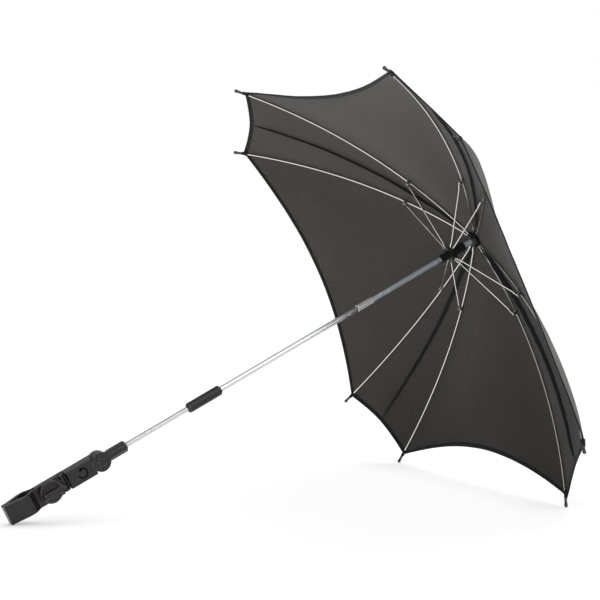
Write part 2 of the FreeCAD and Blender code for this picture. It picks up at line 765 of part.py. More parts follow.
# Clamp block with its rear jaw, and the front jaw on its hinge pin
def make_jaw(name, sign, top):
    bow_end = "clamp_bolt_station + knob_diameter / 2 + knob_space"
    lens_start = "-eye_station + eye_length / 2"
    lens_end = "-eye_station - eye_length / 2"
    gap = f"{sign} * jaw_gap / 2"
    opening = f"{sign} * eye_opening / 2"
    plate = f"{sign} * (jaw_gap / 2 + jaw_thickness)"
    bow = f"{sign} * (eye_diameter / 2 + eye_wall)"
    lip = f"{sign} * (jaw_gap / 2 + lip_thickness)"
    corners = [(gap, top), (gap, lens_start), (opening, "-eye_station + eye_diameter / 2"),
               (opening, "-eye_station - eye_diameter / 2"), (gap, lens_end), (gap, lens_end + " - jaw_lip"),
               (lip, lens_end + " - jaw_lip"), (lip, lens_end), (bow, "-eye_station - eye_diameter / 4"),
               (bow, "-eye_station + eye_diameter / 4"), (plate, f"-({bow_end})"), (plate, top)]
    blank = pressed(name + "_blank", "YZ_Plane", corners, "jaw_width")
    seat = cylinder(name + "_seat", along_x(-size.jaw_width, 0, -size.eye_station), "eye_diameter / 2",
                    "2 * jaw_width")
    return cut(name + "_shape", blank, [seat])


def make_front_jaw():
    knuckle_space = "knuckle_diameter / 2 + 2 * running_clearance"
    jaw = make_jaw("front", -1, f"-jaw_pin_station - ({knuckle_space})")
    plate_front = -size.jaw_gap / 2 - size.jaw_thickness
    plate_top = -size.jaw_pin_station - number(knuckle_space)
    tongue_corner = vector(-size.knuckle_width / 2, plate_front, plate_top - size.overrun)
    tongue = box("front_tongue", tongue_corner, "knuckle_width", "jaw_thickness / 2",
                 f"overrun + {knuckle_space}")
    knuckle_place = along_x(-size.knuckle_width / 2, -size.jaw_pin_depth, -size.jaw_pin_station)
    knuckle = cylinder("front_knuckle", knuckle_place, "knuckle_diameter / 2", "knuckle_width")
    pin_place = along_x(-size.jaw_width, -size.jaw_pin_depth, -size.jaw_pin_station)
    pin_hole = cylinder("front_pin_hole", pin_place, "jaw_pin_diameter / 2 + fit_clearance", "2 * jaw_width")
    bolt_place = along_y(0, -size.jaw_width, -size.clamp_bolt_station)
    bolt_hole = cylinder("front_bolt_hole", bolt_place, "clamp_bolt_hole / 2", "2 * jaw_width")
    solid = fused("front_solid", [jaw, tongue, knuckle])
    keep("front_jaw", cut("front_jaw", solid, [pin_hole, bolt_hole]))


make_front_jaw()


def make_block():
    side = "block_width / 2"
    corners = [("-" + side, "-block_station"), (side, "-block_station"), (side, "-block_end_station"),
               ("-" + side, "-block_end_station")]
    body = pressed("block", "XZ_Plane", corners, "2 * block_front")
    doc.recompute()
    pad = body.Tip
    rim = [f"Edge{index}" for index, edge in enumerate(pad.Shape.Edges, start=1)
           if edge.BoundBox.YMax < 0]
    fillet = body.newObject("PartDesign::Fillet", "block_rounding")
    fillet.Base = (pad, rim)
    fillet.setExpression("Radius", bound("block_round"))
    body.Tip = fillet
    return body


def make_clamp_body():
    jaw = make_jaw("rear", 1, "-block_end_station")
    block = make_block()
    ear_front = size.drum_back + size.running_clearance
    ear_place = along_y(0, ear_front, -size.pivot_station)
    ear_depth = "block_front - drum_back - running_clearance"
    ear = cylinder("ear", ear_place, "drum_diameter / 2", ear_depth)
    web_corner = vector(-size.block_width / 2, ear_front, -size.block_station - size.overrun)
    web = box("ear_web", web_corner, "block_width", ear_depth, "block_station + overrun - pivot_station")
    lug_text = "(block_width - knuckle_width) / 2 - running_clearance"
    lug_width = number(lug_text)
    lugs = []
    for index, start in enumerate((-size.block_width / 2, size.block_width / 2 - lug_width), start=1):
        round_place = along_x(start, -size.jaw_pin_depth, -size.jaw_pin_station)
        lugs.append(cylinder(f"lug_{index}", round_place, "knuckle_diameter / 2", lug_text))
        corner = vector(start, -size.jaw_pin_depth, -size.jaw_pin_station - size.knuckle_diameter / 2)
        lugs.append(box(f"lug_web_{index}", corner, lug_text,
                        "jaw_pin_depth + jaw_gap / 2 + jaw_thickness / 2", "knuckle_diameter"))
    recess = cylinder("drum_recess", along_y(0, -size.block_front - size.overrun, -size.pivot_station),
                      "drum_diameter / 2 + 2 * running_clearance",
                      "block_front + overrun + drum_back + running_clearance")
    bolt_hole = cylinder("pivot_hole", along_y(0, 0, -size.pivot_station),
                         "pivot_bolt_diameter / 2 + fit_clearance", "2 * block_front")
    pocket_start = -size.knuckle_width / 2 - size.running_clearance
    pocket = cylinder("knuckle_pocket", along_x(pocket_start, -size.jaw_pin_depth, -size.jaw_pin_station),
                      "knuckle_diameter / 2 + running_clearance", "knuckle_width + 2 * running_clearance")
    pin_hole = cylinder("rear_pin_hole", along_x(-size.jaw_width, -size.jaw_pin_depth, -size.jaw_pin_station),
                        "jaw_pin_diameter / 2 + fit_clearance", "2 * jaw_width")
    clamp_hole = cylinder("rear_bolt_hole", along_y(0, 0, -size.clamp_bolt_station),
                          "clamp_bolt_diameter / 2 + fit_clearance", "jaw_width")
    solid = fused("clamp_solid", [jaw, block, ear, web] + lugs)
    keep("clamp_body", cut("clamp_body", solid, [recess, bolt_hole, pocket, pin_hole, clamp_hole]))


make_clamp_body()
pin_place = along_x(-size.block_width / 2, -size.jaw_pin_depth, -size.jaw_pin_station)
keep("jaw_pin", cylinder("jaw_pin", pin_place, "jaw_pin_diameter / 2", "block_width"))

# Clamp bolt, washer and knob with its nut
bolt_front = FreeCAD.Placement(vector(0, 0, -size.clamp_bolt_station), FreeCAD.Rotation(axis_x, 90))
plate_back = "-jaw_gap / 2 - jaw_thickness"
keep("clamp_bolt", turned("clamp_bolt", [
    ("0", plate_back + " - bolt_head_height"), ("bolt_head_diameter / 2", plate_back + " - bolt_head_height"),
    ("bolt_head_diameter / 2", plate_back), ("clamp_bolt_diameter / 2", plate_back),
    ("clamp_bolt_diameter / 2", "clamp_bolt_reach"), ("0", "clamp_bolt_reach")], bolt_front))
plate_face = "jaw_gap / 2 + jaw_thickness + running_clearance"
washer_face = plate_face + " + clamp_washer_thickness"
bolt_bore = "clamp_bolt_diameter / 2 + fit_clearance"
keep("clamp_washer", turned("clamp_washer", ring_corners(
    bolt_bore, "clamp_washer_diameter / 2", plate_face, washer_face), bolt_front))


def make_knob():
    base = washer_face + " + running_clearance"
    shoulder = base + " + knob_base_height"
    disc = turned("knob_disc", [
        ("0", base), ("knob_diameter / 2", base), ("knob_diameter / 2", shoulder + " - knob_chamfer"),
        ("knob_diameter / 2 - knob_chamfer", shoulder), ("0", shoulder)], bolt_front)
    half = "knob_grip_width / 2"
    half_top = "knob_grip_top_width / 2"
    crest = base + " + knob_height"
    grip = pressed("knob_grip", "XZ_Plane", [
        ("-" + half, shoulder + " - knob_chamfer"), (half, shoulder + " - knob_chamfer"), (half_top, crest),
        ("-" + half_top, crest)], "knob_diameter - 2 * knob_chamfer", bolt_front)
    base_depth = -number(base)
    tip_depth_place = -size.clamp_bolt_reach - size.running_clearance
    bore = cylinder("knob_bore", along_y(0, tip_depth_place, -size.clamp_bolt_station), bolt_bore,
                    "clamp_bolt_reach")
    nut_seat = cylinder("knob_nut_seat", along_y(0, base_depth - size.nut_height, -size.clamp_bolt_station),
                        "nut_diameter / 2", "nut_height + overrun")
    keep("knob", cut("knob", fused("knob_solid", [disc, grip]), [bore, nut_seat]))
    nut = ring_corners(bolt_bore, "nut_diameter / 2 - fit_clearance", base + " + nut_height", base)
    keep("knob_nut", turned("knob_nut", nut, bolt_front))


make_knob()

# Lay every piece down as the parasol rests, with the middle of the clamp's eye at the origin
for piece in nodes.values():
    piece.Placement = lying.multiply(piece.Placement)
doc.recompute()

failed = [item.Name for item in doc.Objects if "Invalid" in item.State or "Error" in item.State]
failed += [label for label, piece in nodes.items() if piece.Shape.isNull() or not piece.Shape.isValid()]
failed += [label for label, piece in nodes.items() if len(piece.Shape.Solids) != 1]
if failed:
    raise RuntimeError("failed pieces: " + ", ".join(failed))
os.makedirs("parts", exist_ok=True)
for label, piece in nodes.items():
    piece.Shape.exportStep(f"parts/{label}.step")
print(len(nodes), "pieces, lean", round(math.degrees(lean), 2))
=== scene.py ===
import json
import math

import bpy
import numpy as np
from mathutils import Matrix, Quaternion, Vector, noise


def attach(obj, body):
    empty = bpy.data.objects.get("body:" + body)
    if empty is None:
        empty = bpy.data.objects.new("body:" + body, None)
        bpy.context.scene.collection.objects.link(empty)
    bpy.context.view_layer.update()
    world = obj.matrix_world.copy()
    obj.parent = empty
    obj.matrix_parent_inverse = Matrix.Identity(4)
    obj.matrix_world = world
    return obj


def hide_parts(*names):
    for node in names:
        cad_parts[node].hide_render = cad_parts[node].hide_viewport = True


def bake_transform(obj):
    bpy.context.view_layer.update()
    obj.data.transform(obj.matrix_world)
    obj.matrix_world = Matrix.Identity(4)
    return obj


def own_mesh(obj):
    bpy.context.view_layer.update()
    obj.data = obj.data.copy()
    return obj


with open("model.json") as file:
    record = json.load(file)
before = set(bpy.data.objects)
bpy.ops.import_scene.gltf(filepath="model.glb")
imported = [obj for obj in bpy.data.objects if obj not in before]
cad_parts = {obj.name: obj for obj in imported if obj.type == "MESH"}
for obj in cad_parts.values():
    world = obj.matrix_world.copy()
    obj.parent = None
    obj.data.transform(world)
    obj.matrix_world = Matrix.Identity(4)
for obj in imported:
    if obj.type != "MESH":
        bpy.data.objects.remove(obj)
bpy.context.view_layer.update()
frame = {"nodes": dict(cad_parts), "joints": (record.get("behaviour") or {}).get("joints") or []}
nodes = frame["nodes"]
joints = {joint["name"]: joint for joint in frame["joints"]}
ribNumbers = range(1, 9)
print("frame:", len(nodes), "nodes")

# the lying parasol's directions: along the shaft to the crown, sideways, and down from the shaft
shaftUp = Vector(joints["runner_slide"]["axis"]).normalized()
sideways = Vector((0, 1, 0))
downward = sideways.cross(shaftUp)
hinges = [Vector(joints[f"rib_hinge_{n}"]["pos_m"]) for n in ribNumbers]
crownPoint = sum(hinges, Vector()) / len(hinges)
shaftBasis = np.array([downward, sideways, shaftUp])


def atShaft(points):
    return np.asarray(points, float) @ shaftBasis + np.array(crownPoint)


# shader sockets that take part in sums, products and comparisons
class Wire:
    def __init__(self, tree, socket=None):
        self.tree = tree
        self.socket = socket

    def node(self, kind, settings, values, output=0):
        made = self.tree.nodes.new(kind)
        for name, value in settings.items():
            setattr(made, name, value)
        for name, value in values.items():
            if isinstance(value, Wire):
                self.tree.links.new(value.socket, made.inputs[name])
            else:
                made.inputs[name].default_value = value
        return Wire(self.tree, made.outputs[output] if made.outputs else None)

    def math(self, operation, *values):
        return self.node("ShaderNodeMath", {"operation": operation}, dict(enumerate(values)))

    def vector(self, operation, *values, output=0):
        settings = {"operation": operation}
        return self.node("ShaderNodeVectorMath", settings, dict(enumerate(values)), output)

    def part(self, axis):
        return self.node("ShaderNodeSeparateXYZ", {}, {"Vector": self}, axis)

    def __add__(self, other):
        return self.math("ADD", self, other)

    def __radd__(self, other):
        return self.math("ADD", other, self)

    def __sub__(self, other):
        return self.math("SUBTRACT", self, other)

    def __rsub__(self, other):
        return self.math("SUBTRACT", other, self)

    def __mul__(self, other):
        return self.math("MULTIPLY", self, other)

    def __truediv__(self, other):
        return self.math("DIVIDE", self, other)

    def __pow__(self, other):
        return self.math("POWER", self, other)

    def __lt__(self, other):
        return self.math("LESS_THAN", self, other)

    def fraction(self):
        return self.math("FRACT", self)

    def floor(self):
        return self.math("FLOOR", self)

    def sine(self):
        return self.math("SINE", self)

    def size(self):
        return self.math("ABSOLUTE", self)

    def clamped(self):
        return self.node("ShaderNodeClamp", {}, {"Value": self})

    def mixed(self, low, high):
        return self.node("ShaderNodeMix", {"data_type": "RGBA"}, {0: self, 6: low, 7: high}, 2)


def colour(red, green, blue):
    return (red, green, blue, 1.0)


whiteColour = colour(1, 1, 1)


def newMaterial(name):
    made = bpy.data.materials.new(name)
    made.use_nodes = True
    made.node_tree.nodes.clear()
    return made, Wire(made.node_tree)


def shade(paint, values):
    shader = paint.node("ShaderNodeBsdfPrincipled", {}, values)
    paint.node("ShaderNodeOutputMaterial", {}, {"Surface": shader})


def objectPlace(paint):
    return paint.node("ShaderNodeTexCoord", {}, {}, "Object")


def rayKind(paint, kind):
    return paint.node("ShaderNodeLightPath", {}, {}, f"Is {kind} Ray")


def noiseOf(paint, where, scale, detail=3.0, roughness=0.55):
    return paint.node("ShaderNodeTexNoise", {"noise_dimensions": "3D"},
                      {"Vector": where, "Scale": scale, "Detail": detail, "Roughness": roughness})


# softened edges; an edge is picked out where the normal turns by more than a facet does
edges = {"samples": 4, "facet": 0.04, "gain": 12}


def softEdges(paint, radius):
    return paint.node("ShaderNodeBevel", {"samples": edges["samples"]}, {"Radius": radius})


def edgeMask(paint, rounded):
    plain = paint.node("ShaderNodeNewGeometry", {}, {}, "Normal")
    same = paint.vector("DOT_PRODUCT", rounded, plain, output="Value")
    return ((1 - same - edges["facet"]) * edges["gain"]).clamped()


def bumped(paint, height, strength, distance, under=None):
    values = {"Height": height, "Strength": strength, "Distance": distance}
    if under is not None:
        values["Normal"] = under
    return paint.node("ShaderNodeBump", {}, values)


def threads(across, along, pitch):
    x, y = across / pitch, along / pitch
    over = ((x.floor() + y.floor()) * 0.5).fraction() * 2
    warp = 1 - (x.fraction() * 2 - 1) ** 2
    weft = 1 - (y.fraction() * 2 - 1) ** 2
    return warp * over + weft * (1 - over)


# cover cloth: plain weave in each gore's own directions, with mottled yarn
clothLook = {
    "light": (0.076, 0.069, 0.061), "dark": (0.029, 0.0265, 0.0235), "pitch": 0.0009,
    "yarnScale": 900.0, "yarnStretch": 0.22, "washScale": 14.0, "fleckScale": 400.0,
    "fleckRough": 0.7, "weave": 0.35, "yarn": 0.6, "flecks": 1.4, "wash": 0.3, "darken": 0.80,
    "rough": 0.86, "threadPolish": 0.1, "yarnHeight": 0.6, "bump": 0.55, "bumpDepth": 0.00025,
    "sheen": 0.12, "sheenRough": 0.5, "shine": 0.25,
}


def clothMaterial(name, look):
    made, paint = newMaterial(name)
    place = paint.node("ShaderNodeUVMap", {"uv_map": "cut"}, {})
    weave = threads(place.part("X"), place.part("Y"), look["pitch"])
    slubs = paint.vector("MULTIPLY", place, (1.0, look["yarnStretch"], 1.0))
    picks = paint.vector("MULTIPLY", place, (look["yarnStretch"], 1.0, 1.0))
    yarn = (noiseOf(paint, slubs, look["yarnScale"], detail=2.0) * 0.5
            + noiseOf(paint, picks, look["yarnScale"], detail=2.0) * 0.5)
    wash = noiseOf(paint, place, look["washScale"])
    flecks = noiseOf(paint, place, look["fleckScale"], detail=2.0, roughness=look["fleckRough"])
    tone = (weave * look["weave"] + yarn * look["yarn"] + flecks * look["flecks"]
            + wash * look["wash"] - look["darken"]).clamped()
    base = tone.mixed(colour(*look["dark"]), colour(*look["light"]))
    normal = bumped(paint, weave + yarn * look["yarnHeight"], look["bump"], look["bumpDepth"])
    shade(paint, {"Base Color": base, "Roughness": look["rough"] - weave * look["threadPolish"],
                  "Normal": normal, "Sheen Weight": look["sheen"],
                  "Sheen Roughness": look["sheenRough"], "Specular IOR Level": look["shine"]})
    return made


# binding tape: tight black twill with a row of stitches
tapeLook = {
    "light": (0.020, 0.019, 0.019), "dark": (0.008, 0.008, 0.008), "rib": 0.0007,
    "stitch": 0.0026, "stitchShare": 0.68, "row": 0.0037, "rowEdge": 1600, "fluffScale": 500.0,
    "twill": 0.4, "fluff": 0.7, "dash": 0.5, "darken": 0.2, "dashHeight": 1.4,
    "fluffHeight": 0.3, "bump": 0.6, "bumpDepth": 0.0003, "rough": 0.9, "dashPolish": 0.2,
    "sheen": 0.08, "shine": 0.25,
}


def tapeMaterial(name, look):
    made, paint = newMaterial(name)
    place = paint.node("ShaderNodeUVMap", {"uv_map": "cut"}, {})
    along, over = place.part("X"), place.part("Y")
    twill = ((along + over) * (2 * math.pi / look["rib"])).sine() * 0.5 + 0.5
    row = 1 - ((over - look["row"]) * look["rowEdge"]).size()
    dash = ((along / look["stitch"]).fraction() < look["stitchShare"]) * row.clamped()
    fluff = noiseOf(paint, place, look["fluffScale"], detail=2.0)
    tone = (twill * look["twill"] + fluff * look["fluff"] + dash * look["dash"]
            - look["darken"]).clamped()
    base = tone.mixed(colour(*look["dark"]), colour(*look["light"]))
    height = twill * look["twill"] + dash * look["dashHeight"] + fluff * look["fluffHeight"]
    normal = bumped(paint, height, look["bump"], look["bumpDepth"])
    shade(paint, {"Base Color": base, "Roughness": look["rough"] - dash * look["dashPolish"],
                  "Normal": normal, "Sheen Weight": look["sheen"],
                  "Specular IOR Level": look["shine"]})
    return made


# painted shade drawn round the shaft: the strength in the middle of each mark and how fast it
# falls off
marks = {"fluteStrength": 1.6, "fluteFade": 8, "seamStrength": 1.5, "seamFade": 14}


def turnRound(paint, place):
    fromCrown = paint.vector("SUBTRACT", place, crownPoint)
    sides = [paint.vector("DOT_PRODUCT", fromCrown, way, output="Value")
             for way in (sideways, downward)]
    return paint.math("ARCTAN2", *sides)


# the flutes' hollows as painted shade, counted round the shaft
def fluteShadeMask(paint, place, count):
    turn = turnRound(paint, place) * (count / (2 * math.pi))
    away = ((turn + 0.5).fraction() - 0.5).size()
    return (marks["fluteStrength"] - away * marks["fluteFade"]).clamped()


# the rolled tube's seam as painted shade in its groove, a fine line along the shaft
def seamShadeMask(paint, place, angle):
    away = (turnRound(paint, place) - math.radians(angle)).size()
    return (marks["seamStrength"] - away * marks["seamFade"]).clamped()


# bare and plated metals: drawn or turned lines, a little tarnish and softened edges
metalMix = {"smear": 0.8, "grain": 0.3, "darken": 0.05, "grainRough": 0.04, "coatRough": 0.15,
            "smearHeight": 0.5, "bumpDepth": 0.0001}


def metalMaterial(name, look):
    made, paint = newMaterial(name)
    place = objectPlace(paint)
    smear = noiseOf(paint, place, look["smear"], detail=4.0)
    grain = noiseOf(paint, place, look["grain"], detail=2.0)
    tone = (smear * metalMix["smear"] + grain * metalMix["grain"] - metalMix["darken"]).clamped()
    base = tone.mixed(colour(*look["dark"]), colour(*look["light"]))
    rough = look["rough"] + (smear - 0.5) * look["change"] + grain * metalMix["grainRough"]
    values = {"Roughness": rough.clamped(), "Metallic": look["metal"], "Coat Weight": look["coat"],
              "Coat Roughness": metalMix["coatRough"]}
    if "edge" in look:
        rounded = softEdges(paint, look["edge"])
        base = (edgeMask(paint, rounded) * look["paleEdgeShare"]).mixed(base, colour(*look["paleEdge"]))
        values["Normal"] = bumped(paint, grain + smear * metalMix["smearHeight"], look["bump"],
                                  metalMix["bumpDepth"], rounded)
    for mark, mask in (("flutes", fluteShadeMask), ("seam", seamShadeMask)):
        if mark in look:
            base = mask(paint, place, look[mark]).mixed(base, colour(*look["groove"]))
    values["Base Color"] = base
    shade(paint, values)
    return made


metalLooks = {
    "brightWire": {"light": (0.95, 0.935, 0.90), "dark": (0.74, 0.72, 0.69), "rough": 0.16,
                   "change": 0.10, "smear": 60.0, "grain": 1500.0, "metal": 1.0, "coat": 0.0},
    "brightTube": {"light": (0.82, 0.84, 0.85), "dark": (0.70, 0.72, 0.74), "rough": 0.17,
                   "change": 0.06, "smear": 45.0, "grain": 1800.0, "metal": 0.82, "coat": 0.0,
                   "seam": -80.5, "groove": (0.42, 0.44, 0.45)},
    "lacquerTube": {"light": (0.74, 0.82, 0.90), "dark": (0.58, 0.66, 0.74), "rough": 0.34,
                    "change": 0.16, "smear": 50.0, "grain": 1400.0, "metal": 0.6, "coat": 0.25},
    "flutedCollar": {"light": (0.97, 0.96, 0.94), "dark": (0.84, 0.83, 0.81),
                     "paleEdge": (0.98, 0.97, 0.96), "paleEdgeShare": 0.5, "rough": 0.36, "change": 0.2,
                     "smear": 120.0, "grain": 1600.0, "bump": 0.1, "edge": 0.00015,
                     "metal": 0.45, "coat": 0.2, "flutes": 12, "groove": (0.13, 0.13, 0.135)},
    "zincSteel": {"light": (0.60, 0.60, 0.61), "dark": (0.42, 0.42, 0.43),
                  "paleEdge": (0.80, 0.80, 0.80), "paleEdgeShare": 0.5, "rough": 0.34, "change": 0.2,
                  "smear": 180.0, "grain": 1500.0, "bump": 0.15, "edge": 0.0003,
                  "metal": 1.0, "coat": 0.0},
    "neckSteel": {"light": (0.88, 0.89, 0.90), "dark": (0.66, 0.67, 0.69),
                  "paleEdge": (0.94, 0.94, 0.94), "paleEdgeShare": 0.2, "rough": 0.20, "change": 0.14,
                  "smear": 90.0, "grain": 2200.0, "bump": 0.08, "edge": 0.0002,
                  "metal": 1.0, "coat": 0.0},
    "nutBrass": {"light": (0.72, 0.53, 0.25), "dark": (0.50, 0.35, 0.15),
                 "paleEdge": (0.85, 0.68, 0.38), "paleEdgeShare": 0.5, "rough": 0.30, "change": 0.2,
                 "smear": 200.0, "grain": 1500.0, "bump": 0.12, "edge": 0.0003,
                 "metal": 1.0, "coat": 0.0},
}

# moulded black plastic: fine spark-eroded grain, with a painted highlight greying the edges in
# patches
plasticMix = {"cloudScale": 70.0, "cloud": 0.9, "grain": 0.3, "darken": 0.1, "highlightGain": 1.1,
              "cloudRough": 0.22, "highlightPolish": 0.12, "bump": 0.28, "bumpDepth": 0.00012}

# the clamp's plastic, a deeper black for the hubs and a shinier kind for the rib caps
plasticLooks = {
    "blackPlastic": {"light": (0.021, 0.0165, 0.0180), "dark": (0.008, 0.0065, 0.0072),
                     "paleEdge": (0.42, 0.40, 0.405), "grain": 2600.0, "edge": 0.0010,
                     "rough": 0.33, "shine": 0.38},
    "hubPlastic": {"light": (0.011, 0.010, 0.010), "dark": (0.005, 0.005, 0.005),
                   "paleEdge": (0.05, 0.048, 0.047), "grain": 2400.0, "edge": 0.0004,
                   "rough": 0.5, "shine": 0.45},
    "capPlastic": {"light": (0.052, 0.050, 0.048), "dark": (0.026, 0.025, 0.025),
                   "paleEdge": (0.16, 0.155, 0.15), "grain": 3000.0, "edge": 0.0005,
                   "rough": 0.30, "shine": 0.45},
}


def plasticMaterial(name, look):
    made, paint = newMaterial(name)
    place = objectPlace(paint)
    rounded = softEdges(paint, look["edge"])
    paleEdgeShare = edgeMask(paint, rounded)
    grain = noiseOf(paint, place, look["grain"], detail=2.0)
    cloud = noiseOf(paint, place, plasticMix["cloudScale"], detail=4.0)
    tone = (cloud * plasticMix["cloud"] + grain * plasticMix["grain"]
            - plasticMix["darken"]).clamped()
    base = tone.mixed(colour(*look["dark"]), colour(*look["light"]))
    # painted highlight: the edges turn pale in patches and a little smoother
    paintedHighlight = (paleEdgeShare * cloud * plasticMix["highlightGain"]).clamped()
    paleEdge = paintedHighlight.mixed(base, colour(*look["paleEdge"]))
    rough = (look["rough"] + (cloud - 0.5) * plasticMix["cloudRough"]
             - paintedHighlight * plasticMix["highlightPolish"]).clamped()
    normal = bumped(paint, grain, plasticMix["bump"], plasticMix["bumpDepth"], rounded)
    shade(paint, {"Base Color": paleEdge, "Roughness": rough, "Normal": normal,
                  "Specular IOR Level": look["shine"]})
    return made


finishes = {name: metalMaterial(name, look) for name, look in metalLooks.items()}
finishes.update({name: plasticMaterial(name, look) for name, look in plasticLooks.items()})
coverCloth = clothMaterial("coverCloth", clothLook)
bindingTape = tapeMaterial("bindingTape", tapeLook)
print("finishes:", len(finishes) + 2)

# which CAD node wears which finish; what isn't named here is black plastic
familyFinish = {"rib": "brightWire", "stretcher": "brightWire", "rib_joint": "zincSteel",
                "rib_tip": "capPlastic"}
wearers = {
    "lacquerTube": ("upper_tube",), "brightTube": ("lower_tube",), "flutedCollar": ("collar",),
    "hubPlastic": ("crown", "runner"), "nutBrass": ("knob_nut",),
    "zincSteel": ("crown_wire", "runner_wire", "cover_washer", "upper_catch", "lower_catch",
                  "pivot_bolt", "jaw_pin", "clamp_bolt", "clamp_washer", "button_spring"),
}
nodeFinish = {name: finish for finish, names in wearers.items() for name in names}
wireSharpness = {"rib": 70, "rib_tip": 70, "stretcher": 70}
plainSharpness = 32
for name, item in nodes.items():
    family = name.rstrip("12345678_")
    finish = familyFinish.get(family, nodeFinish.get(name, "blackPlastic"))
    item.data.materials.clear()
    item.data.materials.append(finishes[finish])
    item.data.shade_smooth()
    sharp = wireSharpness.get(family, plainSharpness)
    item.data.set_sharp_from_angle(angle=math.radians(sharp))


# new pieces as meshes with a cut map in metres
def newPiece(name, points, faces, finish, cut=None, normals=None):
    mesh = bpy.data.meshes.new(name)
    mesh.from_pydata([tuple(p) for p in points], [], [tuple(f) for f in faces])
    mesh.update()
    if cut is not None:
        layer = mesh.uv_layers.new(name="cut")
        corners = np.array([loop.vertex_index for loop in mesh.loops])
        layer.data.foreach_set("uv", np.asarray(cut, np.float32)[corners].ravel())
    mesh.shade_smooth()
    if normals is not None:
        mesh.normals_split_custom_set_from_vertices([tuple(n) for n in normals])
    mesh.materials.append(finish)
    piece = bpy.data.objects.new(name, mesh)
    bpy.context.scene.collection.objects.link(piece)
    return piece


def gridFaces(rows, columns, around=False):
    last = columns if around else columns - 1
    return [(r * columns + c, r * columns + (c + 1) % columns,
             (r + 1) * columns + (c + 1) % columns, (r + 1) * columns + c)
            for r in range(rows - 1) for c in range(last)]


def lengthsAlong(points):
    return np.concatenate([[0], np.cumsum(np.linalg.norm(np.diff(points, axis=0), axis=1))])


# the cover's shape, stretched over the rib arcs
cover = {
    "hingeReach": 0.0088, "joint": (0.114245, -0.020953), "tip": (0.350, -0.1365),
    "capLength": 0.012, "holeReach": 0.006, "lift": 0.0025, "wideSag": 0.038,
    "narrowSag": 0.008, "narrowCurve": 1.7, "pairStart": 45, "pairStep": 90, "pairAngle": 20.4,
    "hollow": 0.013, "droop": 0.002, "crease": 0.0007, "creaseScale": 16, "fineScale": 55,
    "fineShare": 0.35, "fineSlice": 3.1, "calm": 0.15, "narrowColumns": 10, "wideColumns": 34,
    "rows": 70, "rimBand": 0.013, "rimSteps": (0.0, 0.0012, 0.003, 0.005, 0.007, 0.010),
}


def arcThrough(first, second, third):
    (ax, ay), (bx, by), (cx, cy) = first, second, third
    turn = 2 * (ax * (by - cy) + bx * (cy - ay) + cx * (ay - by))
    a, b, c = ax * ax + ay * ay, bx * bx + by * by, cx * cx + cy * cy
    x = (a * (by - cy) + b * (cy - ay) + c * (ay - by)) / turn
    y = (a * (cx - bx) + b * (ax - cx) + c * (bx - ax)) / turn
    return x, y, math.hypot(ax - x, ay - y)


arcReach, arcHeight, arcRadius = arcThrough((cover["hingeReach"], 0.0), cover["joint"],
                                            cover["tip"])
arcTip = math.atan2(cover["tip"][0] - arcReach, cover["tip"][1] - arcHeight)
arcEnd = arcTip - cover["capLength"] / arcRadius
arcStart = math.asin((cover["holeReach"] - arcReach) / arcRadius)
arcLength = arcRadius * (arcEnd - arcStart)


def onArc(share, azimuth, lift):
    turn = arcStart + (arcEnd - arcStart) * share
    reach = arcReach + (arcRadius + lift) * np.sin(turn)
    height = arcHeight + (arcRadius + lift) * np.cos(turn)
    return np.stack([reach * np.cos(azimuth), reach * np.sin(azimuth), height], axis=-1)


def ribAzimuth(number):
    middle = math.radians(cover["pairStart"] + cover["pairStep"] * ((number - 1) // 2))
    return middle + math.radians(cover["pairAngle"] / 2) * (1 if number % 2 == 0 else -1)


# a point of the cover: t runs from the crown hole to the rim, s across a gore from this rib to
# the next; the curves of the slack are scaled so that each peaks at one
def coverPoints(number, narrow, t, s):
    own = ribAzimuth(number)
    wide = cover["pairStep"] - cover["pairAngle"]
    step = math.radians(cover["pairAngle"] if narrow else wide)
    turn = 1 if (number % 2 == 1) == narrow else -1
    if narrow:
        sag = cover["narrowSag"] * (1 - np.abs(1 - 2 * s) ** cover["narrowCurve"])
    else:
        sag = cover["wideSag"] * 4 * s * (1 - s)
    share = t * (1 - sag / arcLength)
    first = onArc(share, own, cover["lift"])
    second = onArc(share, own + turn * step, cover["lift"])
    flat = first + (second - first) * s[..., None]
    if not narrow:
        depth = cover["hollow"] * 6.75 * t ** 2 * (1 - t) + cover["droop"] * t ** 3
        slack = 16 * (s * (1 - s)) ** 2 * depth
        flat = flat + slack[..., None] * np.array([0.0, 0.0, -1.0])
    return flat


def ripples(points, amount):
    broad, fine = cover["creaseScale"], cover["fineScale"]
    lift = np.zeros(points.shape[:-1])
    for index in np.ndindex(lift.shape):
        x, y, z = points[index]
        large = noise.noise(Vector((x * broad, y * broad, z * broad)))
        small = noise.noise(Vector((x * fine, y * fine, cover["fineSlice"])))
        lift[index] = large + cover["fineShare"] * small
    return lift * amount


def gridNormals(points):
    along = np.gradient(points, axis=0)
    across = np.gradient(points, axis=1)
    normal = np.cross(along, across)
    normal /= np.maximum(np.linalg.norm(normal, axis=-1, keepdims=True), 1e-12)
    return normal * np.where(normal[..., 2:] < 0, -1, 1)


rowShares = np.concatenate([np.linspace(0, 1 - cover["rimBand"] / arcLength, cover["rows"]),
                            1 - np.array(cover["rimSteps"])[::-1] / arcLength])
narrowSteps = np.linspace(0.5, 0, cover["narrowColumns"] + 1)
wideSteps = np.linspace(0, 0.5, cover["wideColumns"] + 1)


